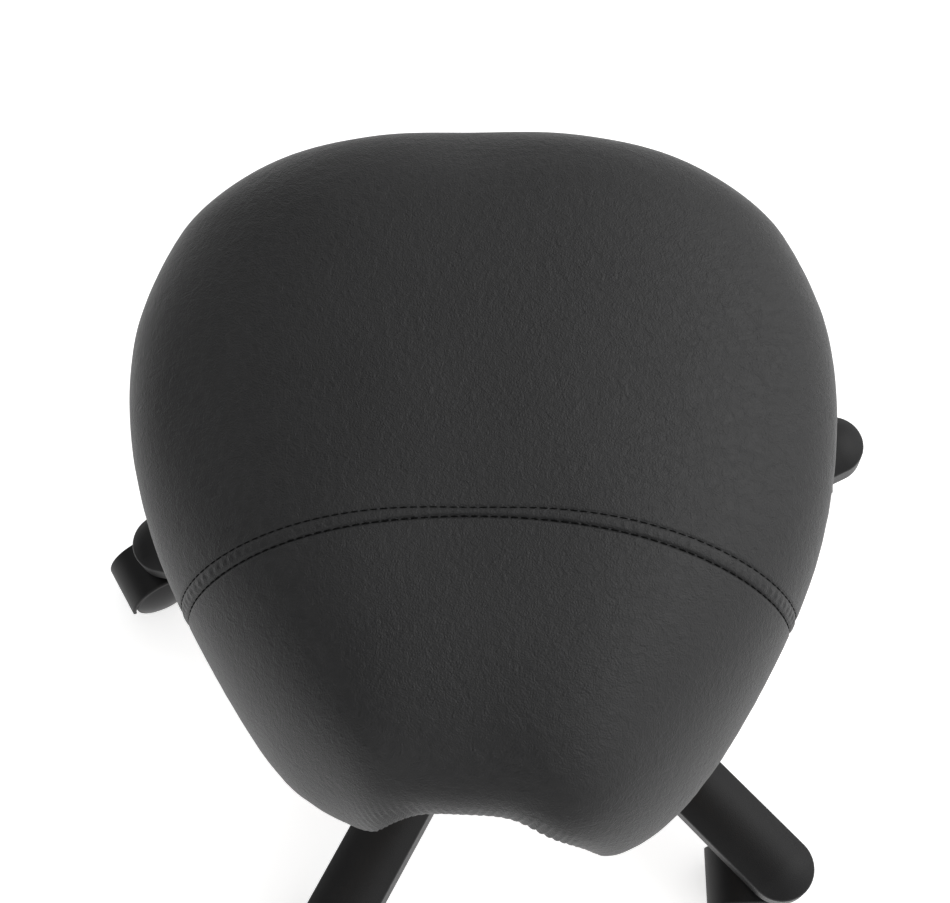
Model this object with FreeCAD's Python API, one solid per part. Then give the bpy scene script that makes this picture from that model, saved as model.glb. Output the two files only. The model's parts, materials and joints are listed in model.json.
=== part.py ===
import FreeCAD, Part
import math
import os

# Rolling saddle stool, in millimetres. The origin is on the floor under the gas lift's axis.
# +Z is up and the pommel of the saddle points along -Y.

# ---- five-star base ----
LEG_COUNT = 5
LEG_FIRST_ANGLE = 25.0       # direction of the first leg, degrees from +X
CASTER_CIRCLE_R = 280.0      # hub axis to caster stems
LEG_WIDTH = 48.0
LEG_WALL_HEIGHT = 19.0       # side wall below the crown
LEG_CROWN = 8.0              # rise of the rounded top over the side walls
LEG_SKIN = 5.0               # wall and top thickness of the ribbed underside
CAST_EDGE = 2.5              # rounding of the outer edges of legs and hub
RIB_COUNT = 4
RIB_THICKNESS = 3.0
HUB_R = 46.0
HUB_NECK_R = 33.0
HUB_DROP = 5.0               # hub reaches this far below the legs
HUB_SHOULDER = 4.0           # and this far above their crowns before it narrows
HUB_NECK_RISE = 20.0

# ---- casters ----
WHEEL_R = 25.0
WHEEL_TREAD = 16.5
WHEEL_DOME = 5.5             # bulge of the outer face
WHEEL_EDGE = 2.0
WEB_THICKNESS = 7.0          # hood's middle wall, between the wheels
WEB_R = 20.0
WHEEL_SIDE_GAP = 1.0
WHEEL_HOOD_GAP = 1.3
HOOD_SKIN = 2.7
HOOD_EDGE = 1.6
HOOD_SKIRT = 3.0             # the hood stops this far above the axle
TRAIL = 22.0                 # swivel axis to wheel axle
AXLE_R = 4.0
AXLE_DEPTH = 14.0            # reach into each wheel
STEM_R = 5.5
STEM_LENGTH = 24.0           # part of the stem inside the socket
STEM_ROOT = 12.0             # part of the stem inside the hood
STEM_COLLAR_R = 9.0
STEM_COLLAR = 2.5
BOSS_R = 11.0
BOSS_RISE = 4.0              # boss above the hood
SOCKET_R = 8.0
TRAIL_ANGLES = (175.0, 190.0, 210.0, 200.0, 180.0)

# ---- gas lift ----
COLUMN_R = 25.0
COLUMN_WALL = 2.5
COLUMN_LENGTH = 293.0
COLUMN_TAPER = 1.0           # loss of radius down the hub's socket
BUSH_LENGTH = 70.0
BUSH_LIP = 3.0
TUBE_R = 14.0
TUBE_WALL = 2.5
TUBE_TAPER = 0.9             # loss of radius in the seat plate's socket
ROD_R = 4.0
ROD_COLLAR_R = 9.0
PISTON_LENGTH = 18.0
TUBE_PLUG = 15.0
SEAT_TRAVEL = 180.0
FLOOR_PLATE = 3.0
BEARING_HEIGHT = 6.0
BEARING_R = 13.0
BALL_R = 2.4
BALL_COUNT = 10
PIN_R = 3.0
PIN_LENGTH = 44.0
PIN_STAND = 4.0              # button above the tube's top

# ---- seat plate and lever ----
PLATE_SIZE = 150.0
PLATE_THICKNESS = 3.0
FLANGE_DROP = 22.0
SOCKET_OUTER_R = 19.0
SOCKET_GRIP = 30.0           # length of taper in the socket
LEVER_R = 4.0
LEVER_PIVOT_X = 40.0
LEVER_PIN_R = 1.5
LEVER_LIFT_DEG = 4.0
LEVER_REACH = 175.0
LEVER_DROP = 42.0
GRIP_R = 8.0
GRIP_LENGTH = 48.0
EAR_THICKNESS = 2.0
BOLT_SPACING = 120.0
BOLT_R = 4.0
BOLT_HEAD_R = 6.5
BOLT_HEAD = 5.0
BOLT_LENGTH = 16.0
T_NUT_R = 10.0

# ---- seat ----
SEAT_LENGTH = 400.0
SEAT_WIDTH = 408.0
SEAT_FRONT_Y = -230.0        # front of the pommel from the lift's axis
SEAT_OVER_COLUMN = 55.2      # column's mouth to the underside of the seat, fully lowered
FLAT_HALF_WIDTH = 80.0       # flat middle of the underside
COVER_THICKNESS = 2.0
BOARD_THICKNESS = 10.0
BOARD_INSET = 30.0
TURN_UNDER = 55.0            # width hidden under the rim by the cover
SEAM_R = 390.0               # plan radius of the cross seam
SEAM_FROM_FRONT = 160.0      # seam's middle from the front of the pommel
STAPLE_WIDTH = 10.0
STAPLE_WIRE = 1.0
STAPLE_LEG = 5.0

# ---- clearances ----
RUNNING = 0.05
TURNING = 0.3

# ---- worked out ----
AXLE_Z = WHEEL_R
WHEEL_INNER = WEB_THICKNESS / 2 + WHEEL_SIDE_GAP
HOOD_HALF = WHEEL_INNER + WHEEL_TREAD + WHEEL_SIDE_GAP
HOOD_R = WHEEL_R + WHEEL_HOOD_GAP + HOOD_SKIN
BOSS_TOP = AXLE_Z + HOOD_R + BOSS_RISE
LEG_BOTTOM = BOSS_TOP + STEM_COLLAR + TURNING
LEG_SHOULDER = LEG_BOTTOM + LEG_WALL_HEIGHT
LEG_TOP = LEG_SHOULDER + LEG_CROWN
HUB_BOTTOM = LEG_BOTTOM - HUB_DROP
HUB_SHOULDER_Z = LEG_TOP + HUB_SHOULDER
HUB_TOP = HUB_SHOULDER_Z + HUB_NECK_RISE
COLUMN_BOTTOM = HUB_BOTTOM - 4.0
COLUMN_TOP = COLUMN_BOTTOM + COLUMN_LENGTH
COLUMN_INNER_R = COLUMN_R - COLUMN_WALL
FLOOR_Z = COLUMN_BOTTOM + 6.0
BEARING_Z = FLOOR_Z + FLOOR_PLATE
ROD_COLLAR_Z = BEARING_Z + BEARING_HEIGHT + TURNING
TUBE_BOTTOM = ROD_COLLAR_Z + 3.5
SEAT_BASE_Z = COLUMN_TOP + SEAT_OVER_COLUMN
PLATE_Z = SEAT_BASE_Z - COVER_THICKNESS - PLATE_THICKNESS
LEVER_Z = PLATE_Z - 4.5 - LEVER_R
TUBE_TOP = LEVER_Z - LEVER_R - PIN_STAND - TURNING
PISTON_Z = TUBE_BOTTOM + SEAT_TRAVEL + TUBE_PLUG + 30.0
GRIP_Z = LEVER_Z - LEVER_DROP


def cylinder(radius, bottom, top, x=0.0, y=0.0):
    return Part.makeCylinder(radius, top - bottom, FreeCAD.Vector(x, y, bottom))


def cone(bottom_r, top_r, bottom, top):
    return Part.makeCone(bottom_r, top_r, top - bottom, FreeCAD.Vector(0, 0, bottom))


def across(radius, low, high, x, z):
    """A cylinder along Y."""
    return Part.makeCylinder(radius, high - low, FreeCAD.Vector(x, low, z), FreeCAD.Vector(0, 1, 0))


def box(x0, x1, y0, y1, z0, z1):
    return Part.makeBox(x1 - x0, y1 - y0, z1 - z0, FreeCAD.Vector(x0, y0, z0))


def joined(shapes):
    first, *rest = shapes
    return first.multiFuse(rest).removeSplitter() if rest else first


def save(name, shape):
    shape.exportStep("parts/" + name + ".step")


def leg_angle(number):
    return LEG_FIRST_ANGLE + 360.0 * number / LEG_COUNT


def at_leg_tip(shape, number, turn):
    """Turns a part made on the Z axis and carries it to a leg's caster centre."""
    angle = math.radians(leg_angle(number))
    placed = shape.copy()
    placed.rotate(FreeCAD.Vector(0, 0, 0), FreeCAD.Vector(0, 0, 1), turn)
    tip = FreeCAD.Vector(math.cos(angle), math.sin(angle), 0) * CASTER_CIRCLE_R
    placed.translate(tip)
    return placed


# ---- base ----

def hub_socket():
    return cone(COLUMN_R - COLUMN_TAPER, COLUMN_R, COLUMN_BOTTOM, HUB_TOP)


def base_hub():
    body = cylinder(HUB_R, HUB_BOTTOM, HUB_SHOULDER_Z)
    neck = cone(HUB_R, HUB_NECK_R, HUB_SHOULDER_Z, HUB_TOP)
    hub = joined([body, neck])
    rims = [e for e in hub.Edges if e.Closed and e.BoundBox.ZLength < 0.1]
    return hub.makeFillet(CAST_EDGE, rims).cut(hub_socket())


def crown_radius():
    return ((LEG_WIDTH / 2) ** 2 + LEG_CROWN ** 2) / (2 * LEG_CROWN)


def crown_foot():
    """Height at which the crown meets the side walls."""
    return LEG_TOP - LEG_CROWN


def base_leg(number):
    """A crowned bar with a round domed tip and ribbed pockets underneath."""
    half = LEG_WIDTH / 2
    crown_z = LEG_TOP - crown_radius()
    centre = FreeCAD.Vector(0, 0, crown_z)
    roof = Part.makeCylinder(crown_radius(), CASTER_CIRCLE_R, centre, FreeCAD.Vector(1, 0, 0))
    bar = box(0, CASTER_CIRCLE_R, -half, half, LEG_BOTTOM, LEG_TOP).common(roof)
    dome = Part.makeSphere(crown_radius(), FreeCAD.Vector(CASTER_CIRCLE_R, 0, crown_z))
    tip = cylinder(half, LEG_BOTTOM, LEG_TOP, CASTER_CIRCLE_R).common(dome)
    leg = joined([bar, tip])
    brow = [e for e in leg.Edges if abs(e.BoundBox.ZMin - crown_foot()) < 0.1 and e.BoundBox.ZLength < 0.1]
    brow = [e for e in brow if e.Length > half]
    leg = leg.makeFillet(min(CAST_EDGE, LEG_CROWN / 2), brow)
    pocket_end = CASTER_CIRCLE_R - half
    pitch = (pocket_end - HUB_R) / RIB_COUNT
    inside = half - LEG_SKIN
    ceiling = LEG_SHOULDER - LEG_SKIN
    for rib in range(RIB_COUNT):
        start = HUB_R + rib * pitch + RIB_THICKNESS
        end = HUB_R + (rib + 1) * pitch
        leg = leg.cut(box(start, end, -inside, inside, LEG_BOTTOM - 1, ceiling))
    leg = leg.cut(cylinder(SOCKET_R, LEG_BOTTOM - 1, socket_top(), CASTER_CIRCLE_R))
    leg = leg.cut(cylinder(HUB_R, LEG_BOTTOM - 1, LEG_TOP + 1))
    leg.rotate(FreeCAD.Vector(0, 0, 0), FreeCAD.Vector(0, 0, 1), leg_angle(number))
    return leg


def socket_top():
    return LEG_TOP - 2.0


def caster_sockets():
    bush = cylinder(SOCKET_R, LEG_BOTTOM, socket_top())
    bush = bush.cut(cylinder(STEM_R + RUNNING, LEG_BOTTOM - 1, LEG_BOTTOM + STEM_LENGTH - 0.5))
    return Part.makeCompound([at_leg_tip(bush, n, 0) for n in range(LEG_COUNT)])


# ---- casters: made with the swivel axis on Z and the wheels trailing towards +X ----

def wheel_space(low, high):
    return across(WHEEL_R + WHEEL_HOOD_GAP, low, high, TRAIL, AXLE_Z)


def caster_hood():
    drum = across(HOOD_R, -HOOD_HALF, HOOD_HALF, TRAIL, AXLE_Z)
    below = box(-60, 90, -60, 60, -10, AXLE_Z + HOOD_SKIRT)
    web = across(WEB_R, -WEB_THICKNESS / 2, WEB_THICKNESS / 2, TRAIL, AXLE_Z)
    boss = cylinder(BOSS_R, AXLE_Z + HOOD_SKIRT, BOSS_TOP)
    cheeks = [edge for edge in drum.Edges if edge.Closed]
    drum = drum.makeFillet(min(HOOD_EDGE, HOOD_SKIN * 0.8), cheeks)
    hood = joined([drum.cut(below), boss, web])
    hood = hood.cut(wheel_space(WEB_THICKNESS / 2, 60))
    hood = hood.cut(wheel_space(-60, -WEB_THICKNESS / 2))
    hood = hood.cut(across(AXLE_R, -60, 60, TRAIL, AXLE_Z))
    return hood.cut(cylinder(STEM_R, BOSS_TOP - STEM_ROOT, BOSS_TOP + 1))


def caster_stem():
    shank = cylinder(STEM_R, BOSS_TOP - STEM_ROOT, LEG_BOTTOM + STEM_LENGTH - 2.0)
    collar = cylinder(STEM_COLLAR_R, BOSS_TOP, BOSS_TOP + STEM_COLLAR)
    return joined([shank, collar])


def caster_axle():
    reach = WHEEL_INNER + AXLE_DEPTH
    return across(AXLE_R, -reach, reach, TRAIL, AXLE_Z)


def caster_wheel(side):
    """One wheel, side +1 or -1: a tyre with a domed outer face and a blind axle bore."""
    outer = WHEEL_INNER + WHEEL_TREAD
    tyre = across(WHEEL_R, WHEEL_INNER, outer, 0, 0)
    rims = [edge for edge in tyre.Edges if edge.Closed]
    tyre = tyre.makeFillet(WHEEL_EDGE, rims)
    face_r = WHEEL_R - WHEEL_EDGE
    bulge_r = (face_r ** 2 + WHEEL_DOME ** 2) / (2 * WHEEL_DOME)
    bulge = Part.makeSphere(bulge_r, FreeCAD.Vector(0, outer + WHEEL_DOME - bulge_r, 0))
    cap = across(face_r, outer, outer + WHEEL_DOME + 1, 0, 0).common(bulge)
    bore_end = WHEEL_INNER + AXLE_DEPTH + TURNING
    wheel = joined([tyre, cap]).cut(across(AXLE_R + RUNNING, 0, bore_end, 0, 0))
    if side < 0:
        wheel.rotate(FreeCAD.Vector(0, 0, 0), FreeCAD.Vector(0, 0, 1), 180)
    wheel.translate(FreeCAD.Vector(TRAIL, 0, AXLE_Z))
    return wheel


# ---- gas lift ----

def column_tube():
    socket_part = hub_socket()
    straight = cylinder(COLUMN_R, HUB_TOP, COLUMN_TOP)
    return joined([socket_part, straight]).cut(cylinder(COLUMN_INNER_R, COLUMN_BOTTOM - 1, COLUMN_TOP + 1))


def column_guide_bush():
    sleeve = cylinder(COLUMN_INNER_R, COLUMN_TOP - BUSH_LENGTH, COLUMN_TOP)
    lip = cylinder(COLUMN_R - 0.5, COLUMN_TOP, COLUMN_TOP + BUSH_LIP)
    bore = cylinder(TUBE_R + RUNNING, COLUMN_TOP - BUSH_LENGTH - 1, COLUMN_TOP + BUSH_LIP + 1)
    return joined([sleeve, lip]).cut(bore)


def column_floor_plate():
    plate = cylinder(COLUMN_INNER_R, FLOOR_Z, BEARING_Z)
    return plate.cut(cylinder(ROD_R + RUNNING, FLOOR_Z - 1, BEARING_Z + 1))


def thrust_bearing():
    """Lower race with its ball groove, and the balls standing in it."""
    race_top = BEARING_Z + BEARING_HEIGHT - BALL_R
    race = cylinder(BEARING_R, BEARING_Z, race_top)
    race = race.cut(cylinder(ROD_R + TURNING, BEARING_Z - 1, race_top + 1))
    pitch_r = (BEARING_R + ROD_R) / 2
    groove = Part.makeTorus(pitch_r, BALL_R, FreeCAD.Vector(0, 0, race_top))
    balls = []
    for index in range(BALL_COUNT):
        angle = 2 * math.pi * index / BALL_COUNT
        centre = FreeCAD.Vector(pitch_r * math.cos(angle), pitch_r * math.sin(angle), race_top)
        balls.append(Part.makeSphere(BALL_R - RUNNING, centre))
    return Part.makeCompound([race.cut(groove)] + balls)


def piston_rod():
    rod = cylinder(ROD_R, COLUMN_BOTTOM + 1, PISTON_Z + PISTON_LENGTH)
    collar = cylinder(BEARING_R, ROD_COLLAR_Z, ROD_COLLAR_Z + 2)
    groove = cylinder(ROD_R + 1, clip_bottom(), clip_top()).cut(cylinder(ROD_R - 1, clip_bottom(), clip_top()))
    return joined([rod, collar]).cut(groove)


def clip_top():
    return FLOOR_Z - TURNING


def clip_bottom():
    return clip_top() - 1.5


def rod_clip():
    ring = cylinder(ROD_COLLAR_R, clip_bottom(), clip_top())
    ring = ring.cut(cylinder(ROD_R - 1, clip_bottom() - 1, clip_top() + 1))
    slot = box(0, ROD_COLLAR_R + 1, -1.5, 1.5, clip_bottom() - 1, clip_top() + 1)
    return ring.cut(slot)


def piston_head():
    head = cylinder(TUBE_R - TUBE_WALL - RUNNING, PISTON_Z, PISTON_Z + PISTON_LENGTH)
    return head.cut(cylinder(ROD_R, PISTON_Z - 1, PISTON_Z + PISTON_LENGTH + 1))


def tube_taper():
    return cone(TUBE_R, TUBE_R - TUBE_TAPER, TUBE_TOP - SOCKET_GRIP, TUBE_TOP)


def pressure_tube():
    straight = cylinder(TUBE_R, TUBE_BOTTOM, TUBE_TOP - SOCKET_GRIP)
    inside_top = TUBE_TOP - 10
    tube = joined([straight, tube_taper()])
    tube = tube.cut(cylinder(TUBE_R - TUBE_WALL, TUBE_BOTTOM - 1, inside_top))
    return tube.cut(cylinder(PIN_R + RUNNING, inside_top - 1, TUBE_TOP + 1))


def tube_plug():
    plug = cylinder(TUBE_R - TUBE_WALL, TUBE_BOTTOM, TUBE_BOTTOM + TUBE_PLUG)
    return plug.cut(cylinder(ROD_R + RUNNING, TUBE_BOTTOM - 1, TUBE_BOTTOM + TUBE_PLUG + 1))


def release_pin():
    top = TUBE_TOP + PIN_STAND
    return cylinder(PIN_R, top - PIN_LENGTH, top)


# ---- seat plate, lever and fixings ----

def bolt_places():
    half = BOLT_SPACING / 2
    return [(x, y) for x in (-half, half) for y in (-half, half)]


def seat_plate():
    half = PLATE_SIZE / 2
    top = PLATE_Z + PLATE_THICKNESS
    plate = box(-half, half, -half, half, PLATE_Z, top)
    left = box(-half, -half + PLATE_THICKNESS, -half, half, PLATE_Z - FLANGE_DROP, top)
    right = box(half - PLATE_THICKNESS, half, -half, half, PLATE_Z - FLANGE_DROP, top)
    plate = joined([plate, left, right])
    upright = [e for e in plate.Edges if abs(e.Length - PLATE_THICKNESS) < 0.01 and e.BoundBox.ZLength > 1]
    if upright:
        plate = plate.makeFillet(1.0, upright)
    for x, y in bolt_places():
        plate = plate.cut(cylinder(BOLT_R + 0.2, PLATE_Z - 1, top + 1, x, y))
    slot = LEVER_R + 2
    travel = math.tan(math.radians(LEVER_LIFT_DEG)) * (half - LEVER_PIVOT_X)
    window = box(half - 10, half + 1, -slot, slot, LEVER_Z - slot, min(LEVER_Z + slot + travel, PLATE_Z))
    return plate.cut(window)


def plate_socket():
    tube = cylinder(SOCKET_OUTER_R, TUBE_TOP - SOCKET_GRIP, PLATE_Z)
    tube = tube.cut(tube_taper())
    tube = tube.cut(cylinder(TUBE_R - TUBE_TAPER, TUBE_TOP - 1, PLATE_Z + 1))
    slot = LEVER_R + 1.5
    return tube.cut(box(-SOCKET_OUTER_R - 1, SOCKET_OUTER_R + 1, -slot, slot, TUBE_TOP, PLATE_Z + 1))


def plate_bolts():
    bolts = []
    for x, y in bolt_places():
        head = cylinder(BOLT_HEAD_R, PLATE_Z - BOLT_HEAD, PLATE_Z, x, y)
        shank = cylinder(BOLT_R, PLATE_Z, PLATE_Z - 2 + BOLT_LENGTH, x, y)
        key = cylinder(2.5, PLATE_Z - BOLT_HEAD - 1, PLATE_Z - BOLT_HEAD + 2.5, x, y)
        bolts.append(joined([head, shank]).cut(key))
    return Part.makeCompound(bolts)


def t_nuts():
    """Flanged nuts let into the top of the board."""
    nuts = []
    top = SEAT_BASE_Z + BOARD_THICKNESS
    for x, y in bolt_places():
        nut = joined([cylinder(T_NUT_R, top - 1.5, top, x, y), cylinder(5.5, SEAT_BASE_Z + 0.5, top, x, y)])
        nuts.append(nut.cut(cylinder(BOLT_R, SEAT_BASE_Z - 1, top + 1, x, y)))
    return Part.makeCompound(nuts)


def t_nut_holes():
    top = SEAT_BASE_Z + BOARD_THICKNESS
    holes = []
    for x, y in bolt_places():
        holes.append(cylinder(T_NUT_R, top - 1.5, top + 0.01, x, y))
        holes.append(cylinder(5.5, SEAT_BASE_Z - 2, top, x, y))
        holes.append(cylinder(BOLT_R, top - 1, top + 6, x, y))
    return joined(holes)


def lever_bracket():
    """Two ears welded under the plate, one on each side of the lever."""
    ears = []
    inner = LEVER_R + 0.5
    for side in (-1, 1):
        y0 = min(side * inner, side * (inner + EAR_THICKNESS))
        ear = box(LEVER_PIVOT_X - 8, LEVER_PIVOT_X + 8, y0, y0 + EAR_THICKNESS, LEVER_Z - 6, PLATE_Z)
        ears.append(ear.cut(across(LEVER_PIN_R, -20, 20, LEVER_PIVOT_X, LEVER_Z)))
    return Part.makeCompound(ears)


def lever_pivot_pin():
    reach = LEVER_R + 0.5 + EAR_THICKNESS + 1
    return across(LEVER_PIN_R, -reach, reach, LEVER_PIVOT_X, LEVER_Z)


def rod_between(start, end, radius):
    direction = end.sub(start)
    return Part.makeCylinder(radius, direction.Length, start, direction)


def lever_points():
    bend = PLATE_SIZE / 2 + 8
    inner = FreeCAD.Vector(-LEVER_R, 0, LEVER_Z)
    knee = FreeCAD.Vector(bend, 0, LEVER_Z)
    elbow = FreeCAD.Vector(LEVER_REACH - GRIP_LENGTH - 4, 0, GRIP_Z)
    end = FreeCAD.Vector(LEVER_REACH, 0, GRIP_Z)
    return inner, knee, elbow, end


def lever_rod():
    inner, knee, elbow, end = lever_points()
    stop = FreeCAD.Vector(LEVER_REACH - 3, 0, GRIP_Z)
    runs = [rod_between(inner, knee, LEVER_R), rod_between(knee, elbow, LEVER_R)]
    runs += [rod_between(elbow, stop, LEVER_R)]
    runs += [Part.makeSphere(LEVER_R, knee), Part.makeSphere(LEVER_R, elbow)]
    rod = joined(runs)
    return rod.cut(across(LEVER_PIN_R + RUNNING, -20, 20, LEVER_PIVOT_X, LEVER_Z))


def lever_grip():
    inner, knee, elbow, end = lever_points()
    start = FreeCAD.Vector(LEVER_REACH - GRIP_LENGTH, 0, GRIP_Z)
    grip = rod_between(start, end, GRIP_R)
    grip = grip.makeFillet(3.0, grip.Edges[0:1] + grip.Edges[2:3])
    return grip.cut(lever_rod())


# ---- seat: a saddle drawn as cross-sections from the pommel to the rear ----
# Each station: share of the length, share of the half-width, crown height over the underside's
# middle, height of the section's underside, and how far its sides hang down.
STATIONS = (
    (0.000, 0.28, 62.0, 46.0, 44.0),
    (0.025, 0.44, 74.0, 34.0, 50.0),
    (0.090, 0.58, 85.0, 22.0, 54.0),
    (0.210, 0.74, 91.0, 8.0, 45.0),
    (0.380, 0.90, 91.0, 0.0, 31.0),
    (0.590, 1.00, 88.0, 0.0, 20.0),
    (0.790, 0.97, 91.0, 2.0, 17.0),
    (0.910, 0.85, 87.0, 13.0, 13.0),
    (0.975, 0.64, 77.0, 29.0, 9.0),
    (1.000, 0.44, 67.0, 41.0, 8.0),
)
SECTION_POINTS = 18
STRIP_POINTS = 9
SIDE_POWER = 0.6


def station_y(share):
    return SEAT_FRONT_Y + SEAT_LENGTH * share


def hang(x, half_width, drop):
    """How far the saddle hangs at x: nothing over the flat middle, all of drop at the rim."""
    flat = min(FLAT_HALF_WIDTH, half_width * 0.4)
    reach = max(0.0, abs(x) - flat) / (half_width - flat)
    return drop * reach ** 2


def rim_power(above):
    """How square the rim's roll is: rounder over the top than under it."""
    return 0.75 if above else 0.5


def section_point(station, angle):
    """A point of a station's outline as x and z, at a given angle round it."""
    share, width, crown, under, drop = station
    half_width = SEAT_WIDTH / 2 * width
    half_height = (crown - under) / 2
    c = math.cos(angle)
    s = math.sin(angle)
    x = half_width * math.copysign(abs(c) ** SIDE_POWER, c)
    lift = half_height * math.copysign(abs(s) ** rim_power(s > 0), s)
    return x, SEAT_BASE_Z + under + half_height + lift - hang(x, half_width, drop)


def outline(station, skin):
    """A station's closed outline as x and z, moved outwards by a skin."""
    points = []
    for index in range(SECTION_POINTS):
        points.append(section_point(station, 2 * math.pi * (index + 0.5) / SECTION_POINTS))
    moved = []
    for index, (x, z) in enumerate(points):
        x_before, z_before = points[index - 1]
        x_after, z_after = points[(index + 1) % SECTION_POINTS]
        run = math.hypot(x_after - x_before, z_after - z_before)
        out_x = (z_after - z_before) / run
        out_z = (x_before - x_after) / run
        moved.append((x + out_x * skin, z + out_z * skin))
    return moved


def envelope(skin):
    """The outside of the upholstered form, larger by a skin on every side."""
    middle_y = SEAT_FRONT_Y + SEAT_LENGTH / 2
    stretch = 1 + 2 * skin / SEAT_LENGTH
    sections = []
    for station in STATIONS:
        y = middle_y + (station_y(station[0]) - middle_y) * stretch
        points = [FreeCAD.Vector(x, y, z) for x, z in outline(station, skin)]
        curve = Part.BSplineCurve()
        curve.interpolate(points, PeriodicFlag=True)
        sections.append(Part.Wire(curve.toShape()))
    return Part.makeLoft(sections, True, False)


def underside(station, x):
    """Height of the foam's underside at x on a station."""
    share, width, crown, under, drop = station
    half_width = SEAT_WIDTH / 2 * width
    c = (abs(x) / half_width) ** (1 / SIDE_POWER)
    return section_point(station, -math.acos(c))[1]


def strip(inset, low, high):
    """A sheet that follows the saddle's underside, from low to high over it."""
    sections = []
    stations = STATIONS[2:-2]
    for share, width, crown, under, drop in stations:
        half_width = SEAT_WIDTH / 2 * width
        edge = half_width - inset
        rows = []
        for level in (low, high):
            row = []
            for index in range(STRIP_POINTS):
                x = edge * (2 * index / (STRIP_POINTS - 1) - 1)
                z = SEAT_BASE_Z + under + level - hang(x, half_width, drop)
                row.append(FreeCAD.Vector(x, station_y(share), z))
            curve = Part.BSplineCurve()
            curve.interpolate(row)
            rows.append((curve.toShape(), row[0], row[-1]))
        (lower, lower_left, lower_right), (upper, upper_left, upper_right) = rows
        right = Part.makeLine(lower_right, upper_right)
        left = Part.makeLine(upper_left, lower_left)
        sections.append(Part.Wire([lower, right, upper, left]))
    sheet = Part.makeLoft(sections, True, False)
    trim = inset - BOARD_INSET
    front = station_y(stations[0][0]) + trim
    back = station_y(stations[-1][0]) - trim
    if trim > 0:
        sheet = sheet.common(box(-SEAT_WIDTH, SEAT_WIDTH, front, back, 0, SEAT_BASE_Z * 2))
    return sheet


def halfway(first, second):
    return tuple((a + b) / 2 for a, b in zip(first, second))


def cover_staples():
    """Staples along both sides of the turned-under edge, their legs up through the board."""
    row = []
    for first, second in zip(STATIONS[2:-3], STATIONS[3:-2]):
        row += [first, halfway(first, second)]
    inset = (TURN_UNDER + BOARD_INSET) / 2
    half = STAPLE_WIDTH / 2
    staples = []
    for before, here, after in zip(row, row[1:], row[2:]):
        x = SEAT_WIDTH / 2 * here[1] - inset
        across_step = SEAT_WIDTH / 2 * (after[1] - before[1])
        lean = math.degrees(math.atan2(across_step, SEAT_LENGTH * (after[0] - before[0])))
        z = underside(here, x) - COVER_THICKNESS
        low = z - STAPLE_WIRE
        wire = STAPLE_WIRE / 2
        crown = box(-wire, wire, -half, half, low, z)
        legs = [box(-wire, wire, y, y + STAPLE_WIRE, low, z + STAPLE_LEG) for y in (-half, half - STAPLE_WIRE)]
        staple = joined([crown] + legs)
        for side in (-1, 1):
            placed = staple.copy()
            placed.rotate(FreeCAD.Vector(0, 0, 0), FreeCAD.Vector(0, 0, 1), -side * lean)
            placed.translate(FreeCAD.Vector(side * x, station_y(here[0]), 0))
            staples.append(placed)
    return Part.makeCompound(staples)


def seat_board(inside):
    board = strip(BOARD_INSET, -4.0, BOARD_THICKNESS).common(inside)
    return board.cut(t_nut_holes()).cut(cover_staples())


def seat_foam(inside):
    return inside.cut(strip(BOARD_INSET, -4.0, BOARD_THICKNESS)).cut(t_nut_holes()).cut(cover_staples())


def cover(inside):
    skin = envelope(COVER_THICKNESS).cut(inside)
    return skin.cut(strip(TURN_UNDER, -12.0, 4.0)).cut(cover_staples())


def seam_drum():
    centre_y = SEAT_FRONT_Y + SEAM_FROM_FRONT - SEAM_R
    return cylinder(SEAM_R, SEAT_BASE_Z - 150, SEAT_BASE_Z + 200, 0, centre_y)


def build():
    os.makedirs("parts", exist_ok=True)
    save("base_hub", base_hub())
    save("caster_sockets", caster_sockets())
    for number in range(LEG_COUNT):
        label = str(number + 1)
        save("base_leg_" + label, base_leg(number))
        turn = TRAIL_ANGLES[number]
        save("caster_hood_" + label, at_leg_tip(caster_hood(), number, turn))
        save("caster_stem_" + label, at_leg_tip(caster_stem(), number, turn))
        save("caster_axle_" + label, at_leg_tip(caster_axle(), number, turn))
        save("caster_wheel_left_" + label, at_leg_tip(caster_wheel(1), number, turn))
        save("caster_wheel_right_" + label, at_leg_tip(caster_wheel(-1), number, turn))
    save("column_tube", column_tube())
    save("column_guide_bush", column_guide_bush())
    save("column_floor_plate", column_floor_plate())
    save("thrust_bearing", thrust_bearing())
    save("piston_rod", piston_rod())
    save("rod_clip", rod_clip())
    save("piston_head", piston_head())
    save("pressure_tube", pressure_tube())
    save("tube_plug", tube_plug())
    save("release_pin", release_pin())
    save("seat_plate", seat_plate())
    save("plate_socket", plate_socket())
    save("plate_bolts", plate_bolts())
    save("t_nuts", t_nuts())
    save("lever_bracket", lever_bracket())
    save("lever_pivot_pin", lever_pivot_pin())
    save("lever_rod", lever_rod())
    save("lever_grip", lever_grip())
    inside = envelope(0.0)
    whole_cover = cover(inside)
    save("seat_board", seat_board(inside))
    save("seat_foam", seat_foam(inside))
    save("cover_front", whole_cover.common(seam_drum()))
    save("cover_rear", whole_cover.cut(seam_drum()))
    save("cover_staples", cover_staples())


build()
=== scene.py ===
import bpy
import bmesh
import json
import math
import numpy as np
from mathutils import Matrix, Vector
from mathutils.bvhtree import BVHTree
from mathutils.kdtree import KDTree


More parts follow.
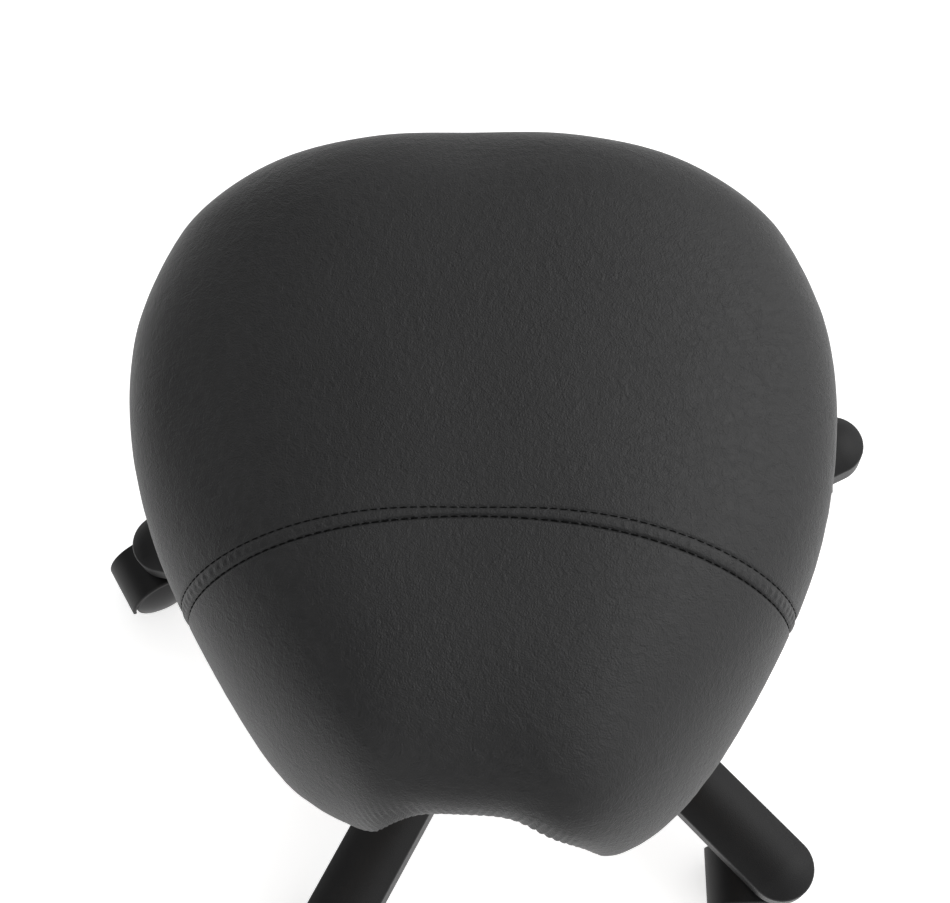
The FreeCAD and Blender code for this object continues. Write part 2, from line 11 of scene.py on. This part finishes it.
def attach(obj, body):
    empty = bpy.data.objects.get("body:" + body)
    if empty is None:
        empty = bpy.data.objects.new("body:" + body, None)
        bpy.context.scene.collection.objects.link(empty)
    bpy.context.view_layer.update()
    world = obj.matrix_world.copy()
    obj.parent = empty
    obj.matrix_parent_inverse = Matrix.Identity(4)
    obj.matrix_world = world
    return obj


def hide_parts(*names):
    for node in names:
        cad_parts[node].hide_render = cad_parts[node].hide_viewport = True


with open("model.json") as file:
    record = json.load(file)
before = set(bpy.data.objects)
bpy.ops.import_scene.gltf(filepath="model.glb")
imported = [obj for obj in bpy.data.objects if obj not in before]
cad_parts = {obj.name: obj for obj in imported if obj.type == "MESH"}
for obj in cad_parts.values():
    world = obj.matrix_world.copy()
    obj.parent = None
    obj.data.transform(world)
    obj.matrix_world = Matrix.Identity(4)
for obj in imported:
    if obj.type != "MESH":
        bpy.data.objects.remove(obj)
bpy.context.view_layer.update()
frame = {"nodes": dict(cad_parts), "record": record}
nodes = frame["nodes"]

# ==== Studio ====
# The camera looks steeply down on the saddle from in front, rolled a little to one side. A pale,
# faintly glowing floor, a soft box on the right with a weak fill, and air that is brighter from
# the right and along the skyline.
LOOK_AZIMUTH = math.radians(9.7)
LOOK_ELEVATION = math.radians(69.0)
LOOK_ROLL = math.radians(-10.8)
LOOK_DISTANCE = 1.114
LOOK_AT = Vector((-0.0129, 0.0385, 0.300))
LENS_MM = 64.4

camera_data = bpy.data.cameras.new("camera")
camera = bpy.data.objects.new("camera", camera_data)
bpy.context.scene.collection.objects.link(camera)
camera_data.sensor_width = 36.0
camera_data.lens = LENS_MM
camera_data.clip_start = 0.02
back = Vector((
    math.sin(LOOK_AZIMUTH) * math.cos(LOOK_ELEVATION),
    -math.cos(LOOK_AZIMUTH) * math.cos(LOOK_ELEVATION),
    math.sin(LOOK_ELEVATION),
))
camera.rotation_mode = "QUATERNION"
camera.location = LOOK_AT + back * LOOK_DISTANCE
level = (-back).to_track_quat("-Z", "Y")
camera.rotation_quaternion = level @ Matrix.Rotation(LOOK_ROLL, 3, "Z").to_quaternion()
bpy.context.scene.camera = camera
bpy.context.scene.view_settings.view_transform = "Standard"


def soft_box(name, place, aim, width, height, power):
    lamp = bpy.data.lights.new(name, "AREA")
    lamp.shape = "RECTANGLE"
    lamp.size = width
    lamp.size_y = height
    lamp.energy = power
    holder = bpy.data.objects.new(name, lamp)
    bpy.context.scene.collection.objects.link(holder)
    holder.location = place
    holder.rotation_mode = "QUATERNION"
    holder.rotation_quaternion = (Vector(aim) - Vector(place)).to_track_quat("-Z", "Y")
    return holder


soft_box("key_box", (1.5, 0.5, 1.7), (0.05, 0.0, 0.4), 1.6, 1.6, 15.0)
soft_box("fill_box", (-0.9, -1.5, 1.3), (0.0, 0.0, 0.35), 1.2, 1.0, 4.0)

world = bpy.data.worlds.new("studio_air")
world.use_nodes = True
air = world.node_tree
bright_side = air.nodes.new("ShaderNodeVectorMath")
bright_side.operation = "DOT_PRODUCT"
bright_side.inputs[1].default_value = (0.76, 0.25, 0.60)
direction = air.nodes.new("ShaderNodeTexCoord")
falloff = air.nodes.new("ShaderNodeMapRange")
falloff.interpolation_type = "SMOOTHSTEP"
falloff.inputs["From Min"].default_value = -0.35
falloff.inputs["From Max"].default_value = 0.95
falloff.inputs["To Min"].default_value = 0.06
falloff.inputs["To Max"].default_value = 0.95
air.links.new(direction.outputs["Generated"], bright_side.inputs[0])
air.links.new(bright_side.outputs["Value"], falloff.inputs["Value"])
height = air.nodes.new("ShaderNodeSeparateXYZ")
air.links.new(direction.outputs["Generated"], height.inputs["Vector"])
skyline = air.nodes.new("ShaderNodeMapRange")
skyline.interpolation_type = "SMOOTHSTEP"
skyline.inputs["From Min"].default_value = 0.18
skyline.inputs["From Max"].default_value = 0.28
skyline.inputs["To Min"].default_value = 0.80
skyline.inputs["To Max"].default_value = 0.0
air.links.new(height.outputs["Z"], skyline.inputs["Value"])
brighter = air.nodes.new("ShaderNodeMath")
brighter.operation = "MAXIMUM"
air.links.new(falloff.outputs["Result"], brighter.inputs[0])
air.links.new(skyline.outputs["Result"], brighter.inputs[1])
air.links.new(brighter.outputs["Value"], air.nodes["Background"].inputs["Strength"])
air.nodes["Background"].inputs["Color"].default_value = (1.0, 1.0, 1.0, 1.0)
bpy.context.scene.world = world

bpy.ops.object.select_all(action="DESELECT")
bpy.ops.mesh.primitive_plane_add(size=12.0, location=(0, 0, 0))
floor = bpy.context.object
floor.name = "floor"
floor_paint = bpy.data.materials.new("pale_floor")
floor_paint.use_nodes = True
floor_shader = floor_paint.node_tree.nodes["Principled BSDF"]
floor_shader.inputs["Base Color"].default_value = (0.92, 0.92, 0.92, 1.0)
floor_shader.inputs["Roughness"].default_value = 0.9
floor_shader.inputs["Specular IOR Level"].default_value = 0.1
floor_shader.inputs["Emission Color"].default_value = (1.0, 1.0, 1.0, 1.0)
floor_shader.inputs["Emission Strength"].default_value = 0.6
floor.data.materials.append(floor_paint)


# ==== Saddle cushion ====
# Moulded foam on a bent plywood shell, covered in black grained upholstery vinyl. The cover is
# two panels joined by one curved seam across the thighs' line, pulled tight and stapled under
# the board, so it gathers round the arch at the pommel.
SEAM_RADIUS = 0.390
SEAM_MIDDLE_Y = -0.070
SEAM_CENTRE_Y = SEAM_MIDDLE_Y - SEAM_RADIUS
ROW_CENTRE_Z = 0.445
ROW_START = -28
ROW_SWEEP = 236
ROW_STEPS = 240
ROW_REACH = 0.26
ROW_REACH_STEPS = 26
STRIP_MIDDLE = 0.0048
STRIP_SIDE = 0.0086
VOXEL = 0.005
PATH_STEP = 0.0006
GROOVE_HALF_WIDTH = 0.0009
SEAM_DEPTH = 0.0014
TOPSTITCH_DEPTH = 0.0007
GATHER_PITCH = 0.0046
GATHER_DEPTH = 0.0009
LAID_ON_BOARD = 0.0005
BOARD_MIDDLE = 0.005
STITCH_PITCH = 0.0053
SWELL_CAP = 0.0035
SWELL_EVENING = 30
START_SMALLER = 0.002
NOSE_BEGINS_Y = -0.185
NOSE_RUN = 0.03
NOSE_ROUNDING = 26
NOSE_FULLER = 0.002
HELD_UNDER = -0.55
HELD_BESIDE_SEAM = 0.004


def mesh_points(mesh):
    flat = np.empty(len(mesh.vertices) * 3)
    mesh.vertices.foreach_get("co", flat)
    return flat.reshape(-1, 3)


def mesh_normals(mesh):
    flat = np.empty(len(mesh.vertices) * 3)
    mesh.vertices.foreach_get("normal", flat)
    return flat.reshape(-1, 3)


def set_points(mesh, points):
    mesh.vertices.foreach_set("co", points.ravel())
    mesh.update()


def only(piece):
    """Makes one object the whole selection and the active object."""
    bpy.ops.object.select_all(action="DESELECT")
    piece.select_set(True)
    bpy.context.view_layer.objects.active = piece


stuffing = bmesh.new()
for name in ("seat_foam", "seat_board", "cover_rear", "cover_front"):
    stuffing.from_mesh(nodes[name].data)
cushion_mesh = bpy.data.meshes.new("seat_cushion")
stuffing.to_mesh(cushion_mesh)
stuffing.free()
cushion = bpy.data.objects.new("seat_cushion", cushion_mesh)
bpy.context.scene.collection.objects.link(cushion)
only(cushion)
cushion_mesh.remesh_voxel_size = VOXEL
bpy.ops.object.voxel_remesh()

smoothing = cushion.modifiers.new("ease", "SMOOTH")
smoothing.factor = 0.5
smoothing.iterations = 8
bpy.ops.object.modifier_apply(modifier="ease")


def seam_offset(points):
    """Plan distance of each point behind the cross seam."""
    return np.hypot(points[:, 0], points[:, 1] - SEAM_CENTRE_Y) - SEAM_RADIUS


def evened(mesh, field, rounds):
    """Averages a value per vertex with its neighbours', to take the small dents out of it."""
    pairs = np.empty(len(mesh.edges) * 2, dtype=np.int64)
    mesh.edges.foreach_get("vertices", pairs)
    pairs = pairs.reshape(-1, 2)
    share = np.bincount(pairs.ravel(), minlength=len(field)).astype(float)
    share[share == 0] = 1.0
    for _ in range(rounds):
        total = np.zeros_like(field)
        for axis in range(field.shape[1]):
            total[:, axis] = np.bincount(pairs[:, 0], field[pairs[:, 1], axis], len(field))
            total[:, axis] += np.bincount(pairs[:, 1], field[pairs[:, 0], axis], len(field))
        field = 0.4 * field + 0.6 * total / share[:, None]
    return field


rest = mesh_points(cushion.data)
facing = mesh_normals(cushion.data)
rest = rest - facing * START_SMALLER
nose = np.clip((NOSE_BEGINS_Y - rest[:, 1]) / NOSE_RUN, 0.0, 1.0)[:, None]
rest = rest + (evened(cushion.data, rest, NOSE_ROUNDING) - rest) * nose
rest[:, 1] -= NOSE_FULLER * nose[:, 0]
set_points(cushion.data, rest)
facing = mesh_normals(cushion.data)

held = cushion.vertex_groups.new(name="held")
under = facing[:, 2] < HELD_UNDER
on_seam = np.abs(seam_offset(rest)) < HELD_BESIDE_SEAM
for index in np.nonzero(under | on_seam)[0]:
    held.add([int(index)], 1.0, "REPLACE")
cloth = cushion.modifiers.new("cloth", "CLOTH")
settings = cloth.settings
settings.quality = 6
settings.mass = 0.4
settings.tension_stiffness = 40
settings.compression_stiffness = 40
settings.shear_stiffness = 20
settings.bending_stiffness = 10
settings.use_pressure = True
settings.uniform_pressure_force = 4.0
settings.vertex_group_mass = "held"
settings.effector_weights.gravity = 0.0
for step in range(1, 21):
    bpy.context.scene.frame_set(step)
bpy.ops.object.modifier_apply(modifier="cloth")
bpy.context.scene.frame_set(1)
swollen = mesh_points(cushion.data)
moved = swollen - rest
length = np.linalg.norm(moved, axis=1, keepdims=True)
length[length == 0] = 1.0
moved = moved * np.minimum(1.0, SWELL_CAP / length)
set_points(cushion.data, rest + evened(cushion.data, moved, SWELL_EVENING))

only(cushion)
finer = cushion.modifiers.new("finer", "SUBSURF")
finer.levels = 1
finer.render_levels = 1
bpy.ops.object.modifier_apply(modifier="finer")


def bell(distance, width):
    """1 at no distance, and fading smoothly to nothing past the width."""
    return np.exp(-(distance / width) ** 2)


def eased(value):
    """Runs smoothly from 0 to 1 as the value does, and stays there outside that."""
    share = np.clip(value, 0.0, 1.0)
    return share * share * (3 - 2 * share)


def shaped_pommel(points):
    """Draws the middle of the pommel back between its two lobes, the left one the shorter."""
    x, y, z = points.T
    arch = 0.010 * np.exp(-((x + 0.010) / 0.041) ** 4)
    lobes = 0.005 * bell(x + 0.080, 0.036) - 0.006 * bell(x - 0.067, 0.037)
    moved = points.copy()
    moved[:, 1] += (arch + lobes) * eased((-0.160 - y) / 0.055)
    return moved


def gathered(points, facing):
    """Fine gathers where the cover turns under on both sides of the arch."""
    x, y, z = points.T
    places = bell(x + 0.048, 0.014) + bell(x - 0.032, 0.012) + 0.3 * bell(x + 0.008, 0.045)
    turning_under = bell(facing[:, 2] - 0.05, 0.32) * eased((-0.180 - y) / 0.01)
    slant = np.sign(x + 0.008) * 0.35 * (z - 0.43)
    fold = np.cos((x - slant) * 2 * math.pi / GATHER_PITCH) * GATHER_DEPTH
    return points + facing * (fold * places * turning_under)[:, None]


def surface_of(piece):
    """A piece's surface, for finding where a line meets it."""
    shape = bmesh.new()
    shape.from_mesh(piece.data)
    surface = BVHTree.FromBMesh(shape)
    shape.free()
    return surface


def tucked_into_opening(points, facing):
    """Lays the turned-under cover against the board and hides the rest inside the board."""
    covers = [surface_of(nodes[name]) for name in ("cover_rear", "cover_front")]
    board = surface_of(nodes["seat_board"])
    moved = points.copy()
    for index in np.nonzero(facing[:, 2] < -0.1)[0]:
        x, y, z = points[index]
        below = Vector((x, y, 0.2))
        wood = board.ray_cast(below, Vector((0, 0, 1)), 1.0)[0]
        hits = [cover.ray_cast(below, Vector((0, 0, 1)), 1.0)[0] for cover in covers]
        lowest = min((hit.z for hit in hits if hit is not None), default=None)
        if lowest is not None and (wood is None or lowest < wood.z + 0.001):
            if facing[index][2] < -0.6:
                moved[index][2] = min(z, lowest + LAID_ON_BOARD)
        elif wood is not None and z < wood.z + BOARD_MIDDLE:
            moved[index][2] = wood.z + BOARD_MIDDLE
    return moved


set_points(cushion.data, shaped_pommel(mesh_points(cushion.data)))


def refined(piece, chosen):
    """Divides the faces between the chosen points, so fine detail has the mesh it needs."""
    shape = bmesh.new()
    shape.from_mesh(piece.data)
    edges = [e for e in shape.edges if chosen[e.verts[0].index] and chosen[e.verts[1].index]]
    bmesh.ops.subdivide_edges(shape, edges=edges, cuts=1, use_grid_fill=True)
    shape.to_mesh(piece.data)
    shape.free()


for reach in (0.016, 0.012):
    points = mesh_points(cushion.data)
    refined(cushion, np.abs(seam_offset(points) - STRIP_MIDDLE / 2) < reach)
points = mesh_points(cushion.data)
refined(cushion, (points[:, 1] < -0.175) & (np.abs(points[:, 0]) < 0.09))
facing = mesh_normals(cushion.data)
set_points(cushion.data, gathered(mesh_points(cushion.data), facing))

tree = BVHTree.FromObject(cushion, bpy.context.evaluated_depsgraph_get())


def row_on_cover(behind_middle, behind_side):
    """A line round the cushion that keeps to the seam's drum, as points and outward normals."""
    line = []
    for step in range(ROW_STEPS + 1):
        angle = math.radians(ROW_START + ROW_SWEEP * step / ROW_STEPS)
        lean = abs(math.cos(angle))
        radius = SEAM_RADIUS + behind_middle + (behind_side - behind_middle) * lean ** 2
        before = None
        for reach_step in range(ROW_REACH_STEPS, 0, -1):
            t = ROW_REACH * reach_step / ROW_REACH_STEPS
            x = t * math.cos(angle)
            y = SEAM_CENTRE_Y + math.sqrt(radius ** 2 - x * x)
            here = Vector((x, y, ROW_CENTRE_Z + t * math.sin(angle)))
            if before is not None:
                way = here - before
                hit, normal, face, distance = tree.ray_cast(before, way.normalized(), way.length)
                if hit is not None:
                    line.append((hit, normal))
                    break
            before = here
    return line


seam_line = row_on_cover(0.0, 0.0)
top_line = row_on_cover(STRIP_MIDDLE, STRIP_SIDE)


def pressed(points, facing, line, half_width, depth):
    """Pushes a soft groove into the surface along a line, and says how far off each point is."""
    path = []
    for (a, na), (b, nb) in zip(line, line[1:]):
        steps = max(1, int((b - a).length / PATH_STEP))
        path += [a.lerp(b, k / steps) for k in range(steps)]
    finder = KDTree(len(path))
    for index, place in enumerate(path):
        finder.insert(place, index)
    finder.balance()
    away = np.full(len(points), 1.0)
    along = np.zeros(len(points))
    for index in np.nonzero(np.abs(seam_offset(points)) < 0.03)[0]:
        place, spot, distance = finder.find(points[index])
        away[index] = distance
        along[index] = spot
    dent = depth * np.exp(-(away / half_width) ** 2)
    return points - facing * dent[:, None], away, along


points = mesh_points(cushion.data)
facing = mesh_normals(cushion.data)
points, from_seam, _ = pressed(points, facing, seam_line, GROOVE_HALF_WIDTH, SEAM_DEPTH)
points, from_top, along_top = pressed(points, facing, top_line, GROOVE_HALF_WIDTH, TOPSTITCH_DEPTH)
between = np.exp(-((from_seam - from_top) / 0.004) ** 2) * (from_seam + from_top < 0.012)
toward_end = np.clip((np.abs(points[:, 0]) - 0.06) / 0.09, 0.0, 1.0)
pucker = np.cos(along_top * PATH_STEP * 2 * math.pi / STITCH_PITCH)
ripple = 0.0002 + pucker * (0.00004 + 0.00018 * toward_end)
points = points + facing * (ripple * between)[:, None]
set_points(cushion.data, points)
bpy.ops.object.shade_smooth()


def settled(piece):
    """Leaves the seat a little uneven, as a hand-pulled cover does: one side sits further back."""
    points = mesh_points(piece.data)
    x, y, z = points.T
    moved = points.copy()
    moved[:, 1] += -0.035 * x + 0.008 * eased(y / 0.16)
    moved[:, 0] -= 0.003 * bell(y - 0.03, 0.11)
    moved[:, 0] -= x * (0.026 * eased((-0.06 - y) / 0.12) + 0.052 * eased((y - 0.05) / 0.10))
    moved[:, 0] -= x * 0.08 * eased((y - 0.115) / 0.06)
    set_points(piece.data, moved)


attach(cushion, "seat")
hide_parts("seat_foam", "cover_rear", "cover_front")


def grained_vinyl():
    """Black vinyl with a hair-cell grain, long faint creases and a satin, uneven sheen."""
    paint = bpy.data.materials.new("black_vinyl")
    paint.use_nodes = True
    tree = paint.node_tree
    shader = tree.nodes["Principled BSDF"]
    shader.inputs["Specular IOR Level"].default_value = 0.5
    place = tree.nodes.new("ShaderNodeTexCoord")
    cells = tree.nodes.new("ShaderNodeTexVoronoi")
    cells.feature = "DISTANCE_TO_EDGE"
    cells.inputs["Scale"].default_value = 620.0
    creases = tree.nodes.new("ShaderNodeTexNoise")
    creases.inputs["Scale"].default_value = 160.0
    creases.inputs["Detail"].default_value = 6.0
    creases.inputs["Roughness"].default_value = 0.65
    creases.inputs["Distortion"].default_value = 1.2
    cloud = tree.nodes.new("ShaderNodeTexNoise")
    cloud.inputs["Scale"].default_value = 14.0
    cloud.inputs["Detail"].default_value = 4.0
    for source in (cells, creases, cloud):
        tree.links.new(place.outputs["Object"], source.inputs["Vector"])
    grain = tree.nodes.new("ShaderNodeBump")
    grain.inputs["Strength"].default_value = 0.55
    grain.inputs["Distance"].default_value = 0.0006
    tree.links.new(cells.outputs["Distance"], grain.inputs["Height"])
    crease = tree.nodes.new("ShaderNodeBump")
    crease.inputs["Strength"].default_value = 0.6
    crease.inputs["Distance"].default_value = 0.0014
    tree.links.new(creases.outputs["Fac"], crease.inputs["Height"])
    tree.links.new(grain.outputs["Normal"], crease.inputs["Normal"])
    tree.links.new(crease.outputs["Normal"], shader.inputs["Normal"])
    tone = tree.nodes.new("ShaderNodeValToRGB")
    tone.color_ramp.elements[0].position = 0.3
    tone.color_ramp.elements[0].color = (0.005, 0.005, 0.0055, 1)
    tone.color_ramp.elements[1].position = 0.75
    tone.color_ramp.elements[1].color = (0.010, 0.010, 0.0105, 1)
    tree.links.new(cloud.outputs["Fac"], tone.inputs["Fac"])
    tree.links.new(tone.outputs["Color"], shader.inputs["Base Color"])
    sheen = tree.nodes.new("ShaderNodeMapRange")
    sheen.inputs["To Min"].default_value = 0.44
    sheen.inputs["To Max"].default_value = 0.56
    tree.links.new(cloud.outputs["Fac"], sheen.inputs["Value"])
    tree.links.new(sheen.outputs["Result"], shader.inputs["Roughness"])
    return paint


vinyl = grained_vinyl()
cushion.data.materials.clear()
cushion.data.materials.append(vinyl)


# ==== Seam thread ====
# Two rows of black polyester lock stitches, one hugging the seam and one holding the folded
# allowance behind it. Each stitch dips into the vinyl at both ends.
STITCH_LENGTH = 0.0043
THREAD_THICKNESS = 0.0010

bpy.ops.object.select_all(action="DESELECT")
bpy.ops.mesh.primitive_uv_sphere_add(segments=8, ring_count=6, radius=0.5, location=(0, 0, 0))
one_stitch = bpy.context.object
stitch_points = mesh_points(one_stitch.data)


def stitch_row(line):
    """Places for stitches a pitch apart along a line: centre, direction and outward normal."""
    places = []
    left = STITCH_PITCH / 2
    for (a, na), (b, nb) in zip(line, line[1:]):
        way = b - a
        run = way.length
        while left < run:
            share = left / run
            places.append((a.lerp(b, share), way.normalized(), na.lerp(nb, share).normalized()))
            left += STITCH_PITCH
        left -= run
    return places


tree = BVHTree.FromObject(cushion, bpy.context.evaluated_depsgraph_get())
thread = bmesh.new()
for line, thickness in ((seam_line, THREAD_THICKNESS), (top_line, THREAD_THICKNESS * 0.75)):
    for centre, along, out in stitch_row(line):
        side = along.cross(out).normalized()
        hit, normal, face, distance = tree.ray_cast(centre + out * 0.003, -out, 0.01)
        if hit is None:
            continue
        start = len(thread.verts)
        turn = Matrix((side, out, along)).transposed()
        middle = hit + out * (thickness * 0.18)
        for corner in one_stitch.data.vertices:
            shaped = Vector(stitch_points[corner.index] * (thickness, thickness, STITCH_LENGTH))
            thread.verts.new(middle + turn @ shaped)
        thread.verts.ensure_lookup_table()
        for face in one_stitch.data.polygons:
            thread.faces.new([thread.verts[start + v] for v in face.vertices])
thread_mesh = bpy.data.meshes.new("seam_thread")
thread.normal_update()
thread.to_mesh(thread_mesh)
thread.free()
seam_thread = bpy.data.objects.new("seam_thread", thread_mesh)
bpy.context.scene.collection.objects.link(seam_thread)
bpy.data.objects.remove(one_stitch)
only(seam_thread)
bpy.ops.object.shade_smooth()
settled(cushion)
settled(seam_thread)
facing = mesh_normals(cushion.data)
set_points(cushion.data, tucked_into_opening(mesh_points(cushion.data), facing))
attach(seam_thread, "seat")


def twisted_thread():
    paint = bpy.data.materials.new("black_thread")
    paint.use_nodes = True
    tree = paint.node_tree
    shader = tree.nodes["Principled BSDF"]
    shader.inputs["Base Color"].default_value = (0.002, 0.002, 0.002, 1)
    shader.inputs["Roughness"].default_value = 0.85
    shader.inputs["Specular IOR Level"].default_value = 0.15
    place = tree.nodes.new("ShaderNodeTexCoord")
    twist = tree.nodes.new("ShaderNodeTexNoise")
    twist.inputs["Scale"].default_value = 2500.0
    bump = tree.nodes.new("ShaderNodeBump")
    bump.inputs["Strength"].default_value = 0.5
    bump.inputs["Distance"].default_value = 0.0002
    tree.links.new(place.outputs["Object"], twist.inputs["Vector"])
    tree.links.new(twist.outputs["Fac"], bump.inputs["Height"])
    tree.links.new(bump.outputs["Normal"], shader.inputs["Normal"])
    return paint


seam_thread.data.materials.append(twisted_thread())


# ==== Five-star base ====
# One hub with five ribbed legs, cast in aluminium and powder-coated black. The coat has a fine
# orange peel, and it is rubbed a little paler where feet rest on it.
RUBBED_GREY = (0.14, 0.14, 0.14, 1)


def textured(name, colour, roughness, metal, grain, depth, scuff):
    """A finish with fine speckle in its relief, uneven gloss and a few paler rubbed marks."""
    paint = bpy.data.materials.new(name)
    paint.use_nodes = True
    tree = paint.node_tree
    shader = tree.nodes["Principled BSDF"]
    shader.inputs["Metallic"].default_value = metal
    shader.inputs["Specular IOR Level"].default_value = 0.5 if metal else 0.32
    place = tree.nodes.new("ShaderNodeTexCoord")
    speckle = tree.nodes.new("ShaderNodeTexNoise")
    speckle.inputs["Scale"].default_value = grain
    speckle.inputs["Detail"].default_value = 3.0
    cloud = tree.nodes.new("ShaderNodeTexNoise")
    cloud.inputs["Scale"].default_value = 22.0
    cloud.inputs["Detail"].default_value = 5.0
    rubs = tree.nodes.new("ShaderNodeTexNoise")
    rubs.inputs["Scale"].default_value = 95.0
    rubs.inputs["Detail"].default_value = 8.0
    rubs.inputs["Roughness"].default_value = 0.7
    rubs.inputs["Distortion"].default_value = 2.0
    for source in (speckle, cloud, rubs):
        tree.links.new(place.outputs["Object"], source.inputs["Vector"])
    bump = tree.nodes.new("ShaderNodeBump")
    bump.inputs["Strength"].default_value = 0.5
    bump.inputs["Distance"].default_value = depth
    tree.links.new(speckle.outputs["Fac"], bump.inputs["Height"])
    tree.links.new(bump.outputs["Normal"], shader.inputs["Normal"])
    gloss = tree.nodes.new("ShaderNodeMapRange")
    gloss.inputs["To Min"].default_value = roughness - 0.06
    gloss.inputs["To Max"].default_value = roughness + 0.08
    tree.links.new(cloud.outputs["Fac"], gloss.inputs["Value"])
    tree.links.new(gloss.outputs["Result"], shader.inputs["Roughness"])
    tone = tree.nodes.new("ShaderNodeMix")
    tone.data_type = "RGBA"
    tone.inputs["A"].default_value = [c * 0.85 for c in colour] + [1]
    tone.inputs["B"].default_value = [c * 1.15 for c in colour] + [1]
    tree.links.new(cloud.outputs["Fac"], tone.inputs["Factor"])
    marks = tree.nodes.new("ShaderNodeMapRange")
    marks.inputs["From Min"].default_value = 0.64
    marks.inputs["From Max"].default_value = 0.74
    marks.inputs["To Max"].default_value = scuff
    tree.links.new(rubs.outputs["Fac"], marks.inputs["Value"])
    rubbed = tree.nodes.new("ShaderNodeMix")
    rubbed.data_type = "RGBA"
    rubbed.inputs["B"].default_value = RUBBED_GREY
    tree.links.new(marks.outputs["Result"], rubbed.inputs["Factor"])
    tree.links.new(tone.outputs["Result"], rubbed.inputs["A"])
    tree.links.new(rubbed.outputs["Result"], shader.inputs["Base Color"])
    return paint


def finished(slot, paint):
    """Gives a finish to every CAD node that the record lists under a slot."""
    for part in frame["record"]["subparts"]:
        if part["material_slot"] == slot:
            piece = nodes[part["node"]]
            piece.data.materials.clear()
            piece.data.materials.append(paint)


powder_black = (0.006, 0.006, 0.0065)
finished("base_black", textured("powder_coat", powder_black, 0.46, 0.0, 1500.0, 0.0003, 0.05))


# ==== Casters ====
# Glass-filled nylon hoods over twin nylon wheels, as they come from the mould. The treads are
# scuffed by the floor, and the hoods by feet.
hood_black = (0.006, 0.006, 0.0065)
wheel_black = (0.010, 0.010, 0.011)
finished("hood_nylon", textured("hood_nylon", hood_black, 0.5, 0.0, 1300.0, 0.0002, 0.10))
finished("wheel_nylon", textured("wheel_nylon", wheel_black, 0.4, 0.0, 700.0, 0.0001, 0.22))


# ==== Gas lift, seat plate and lever ====
# The lift's tubes, the pressed plate and the lever are black-coated steel. Rods, bolts, stems,
# axles, the bearing and the staples are bright steel, and bush, button and grip are plastic.
bright_grey = (0.55, 0.55, 0.56)
steel_black = (0.014, 0.014, 0.015)
plastic_black = (0.013, 0.013, 0.014)
bright_steel = textured("bright_steel", bright_grey, 0.3, 1.0, 900.0, 0.00005, 0.1)
black_steel = textured("black_steel", steel_black, 0.35, 0.0, 500.0, 0.00005, 0.05)
black_plastic = textured("black_plastic", plastic_black, 0.35, 0.0, 400.0, 0.0001, 0.08)
finished("bright_steel", bright_steel)
finished("black_steel", black_steel)
finished("black_plastic", black_plastic)


# ==== Seat board ====
# A shell pressed from birch veneers and lacquered clear. It is bare inside the turned-under edge
# of the cover, where the plate is bolted to it.
def birch_ply():
    """Clear-lacquered birch face veneer, its figure running from front to back."""
    paint = bpy.data.materials.new("birch_ply")
    paint.use_nodes = True
    tree = paint.node_tree
    shader = tree.nodes["Principled BSDF"]
    shader.inputs["Roughness"].default_value = 0.5
    place = tree.nodes.new("ShaderNodeTexCoord")
    along = tree.nodes.new("ShaderNodeMapping")
    along.inputs["Scale"].default_value = (1.0, 0.06, 1.0)
    tree.links.new(place.outputs["Object"], along.inputs["Vector"])
    figure = tree.nodes.new("ShaderNodeTexNoise")
    figure.inputs["Scale"].default_value = 60.0
    figure.inputs["Detail"].default_value = 6.0
    figure.inputs["Distortion"].default_value = 1.5
    fibre = tree.nodes.new("ShaderNodeTexNoise")
    fibre.inputs["Scale"].default_value = 900.0
    fibre.inputs["Detail"].default_value = 2.0
    tree.links.new(along.outputs["Vector"], figure.inputs["Vector"])
    tree.links.new(along.outputs["Vector"], fibre.inputs["Vector"])
    tone = tree.nodes.new("ShaderNodeValToRGB")
    tone.color_ramp.elements[0].position = 0.35
    tone.color_ramp.elements[0].color = (0.30, 0.17, 0.08, 1)
    tone.color_ramp.elements[1].position = 0.65
    tone.color_ramp.elements[1].color = (0.46, 0.30, 0.16, 1)
    tree.links.new(figure.outputs["Fac"], tone.inputs["Fac"])
    tree.links.new(tone.outputs["Color"], shader.inputs["Base Color"])
    bump = tree.nodes.new("ShaderNodeBump")
    bump.inputs["Strength"].default_value = 0.3
    bump.inputs["Distance"].default_value = 0.0002
    tree.links.new(fibre.outputs["Fac"], bump.inputs["Height"])
    tree.links.new(bump.outputs["Normal"], shader.inputs["Normal"])
    return paint


finished("plywood", birch_ply())
